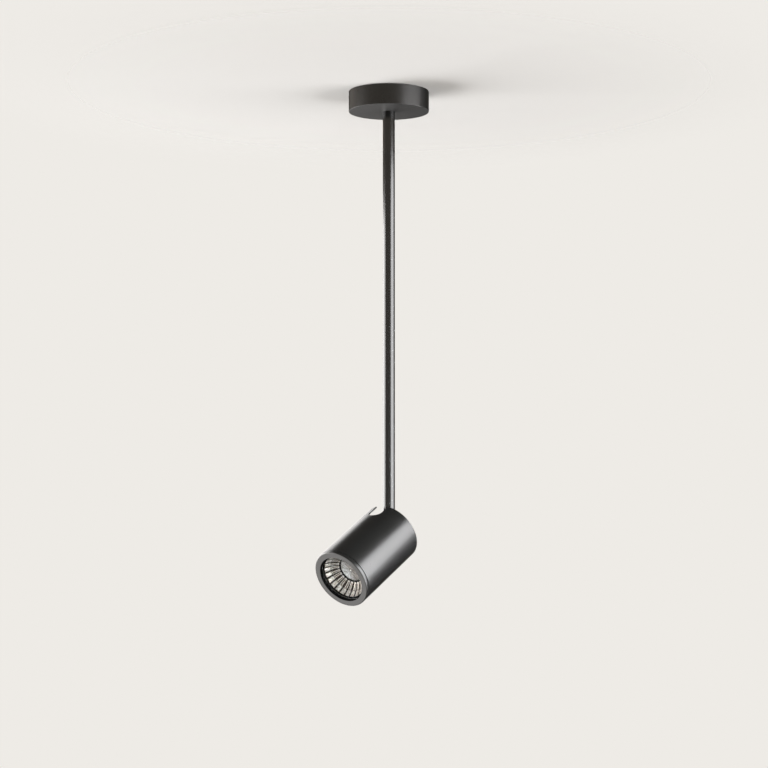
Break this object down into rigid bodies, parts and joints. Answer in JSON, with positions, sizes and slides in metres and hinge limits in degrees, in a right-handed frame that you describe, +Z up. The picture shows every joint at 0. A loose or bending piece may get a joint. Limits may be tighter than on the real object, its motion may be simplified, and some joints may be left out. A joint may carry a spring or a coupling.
{
  "type": "rod spotlight",
  "caption": "Ceiling spotlight with a round canopy, a long straight rod that swivels, and a tilting tubular head that holds a reflector lamp behind a screwed front ring.",
  "frame": {"origin": "centre of the canopy on the ceiling plane, midway between the two ceiling screw slots", "axes": "+Z up into the ceiling, the rod hangs along -Z, and at rest the head aims towards -Y and 30 degrees below the horizontal"},
  "size_m": [0.08, 0.1266, 0.5079],
  "materials": {
    "black_metal": "satin black coat",
    "zinc_steel": "zinc plated",
    "screw_steel": "zinc plated",
    "black_casting": "satin black coat on a zinc casting",
    "brass": "bright",
    "black_rubber": "matte silicone",
    "white_plastic": "matte",
    "white_ceramic": "glazed white ceramic",
    "supply_insulation": "brown and blue insulation",
    "earth_insulation": "green and yellow insulation",
    "lamp_aluminium": "satin",
    "board_white": "white solder mask",
    "reflector_metal": "mirror-bright metallised bowl",
    "frosted_lens": "frosted diffuser",
    "clear_glass": "clear"
  },
  "bodies": {
    "canopy": {"ceiling_bracket": "zinc_steel", "canopy_cover": "black_metal", "canopy_grub_screws": "screw_steel", "entry_grommet": "black_rubber", "terminal_block": "white_plastic", "terminal_clamps": "brass", "terminal_screws": "screw_steel", "block_screw": "screw_steel", "canopy_earth_ring": "brass", "canopy_earth_screw": "screw_steel", "swivel_stop_pin": "zinc_steel", "canopy_leads": "supply_insulation", "canopy_earth_lead": "earth_insulation"},
    "rod": {"rod_tube": "black_metal", "top_nipple": "zinc_steel", "friction_washer": "white_plastic", "disc_spring": "zinc_steel", "stop_washer": "zinc_steel", "swivel_nut": "zinc_steel", "lock_nut": "zinc_steel", "rod_leads": "supply_insulation", "rod_earth_lead": "earth_insulation", "knuckle": "black_casting"},
    "head": {"head_housing": "black_metal", "carrier_plate": "zinc_steel", "plate_screws": "screw_steel", "lead_grommet": "black_rubber", "head_earth_ring": "brass", "head_earth_screw": "screw_steel", "clevis": "zinc_steel", "clevis_screws": "screw_steel", "pivot_bolt": "screw_steel", "pivot_nut": "screw_steel", "pivot_washers": "zinc_steel", "lampholder": "white_ceramic", "holder_screws": "screw_steel", "holder_contacts": "brass", "head_leads": "supply_insulation", "head_earth_lead": "earth_insulation"},
    "lamp": {"lamp_base": "white_plastic", "lamp_pins": "brass", "lamp_heat_sink": "lamp_aluminium", "lamp_board": "board_white", "lamp_reflector": "reflector_metal", "lamp_lens": "frosted_lens", "lamp_glass": "clear_glass"},
    "gasket": {"lamp_gasket": "black_rubber"},
    "front_ring": {"front_ring": "black_metal"}
  },
  "joints": [
    {"name": "rod_swivel", "type": "hinge", "parent": "canopy", "child": "rod", "pos_m": [0, 0, -0.02], "axis": [0, 0, 1], "range_deg": [-165, 165], "deforming": ["canopy_leads", "canopy_earth_lead"]},
    {"name": "head_tilt", "type": "hinge", "parent": "rod", "child": "head", "pos_m": [0, 0, -0.4407], "axis": [1, 0, 0], "range_deg": [-30, 60], "deforming": ["head_leads", "head_earth_lead"]},
    {"name": "lamp_twist", "type": "hinge", "parent": "head", "child": "lamp", "pos_m": [0, -0.02598, -0.4557], "axis": [0, -0.866, -0.5], "range_deg": [0, 18]},
    {"name": "ring_advance", "type": "slide", "parent": "head", "child": "gasket", "axis": [0, -0.866, -0.5], "range_m": [0, 0.00601]},
    {"name": "ring_turn", "type": "hinge", "parent": "gasket", "child": "front_ring", "pos_m": [0, -0.0718, -0.48215], "axis": [0, -0.866, -0.5], "range_deg": [0, 1440]}
  ],
  "couplings": [
    {"joint": "ring_advance", "follows": "ring_turn", "m_per_rad": 0.00023873}
  ]
}
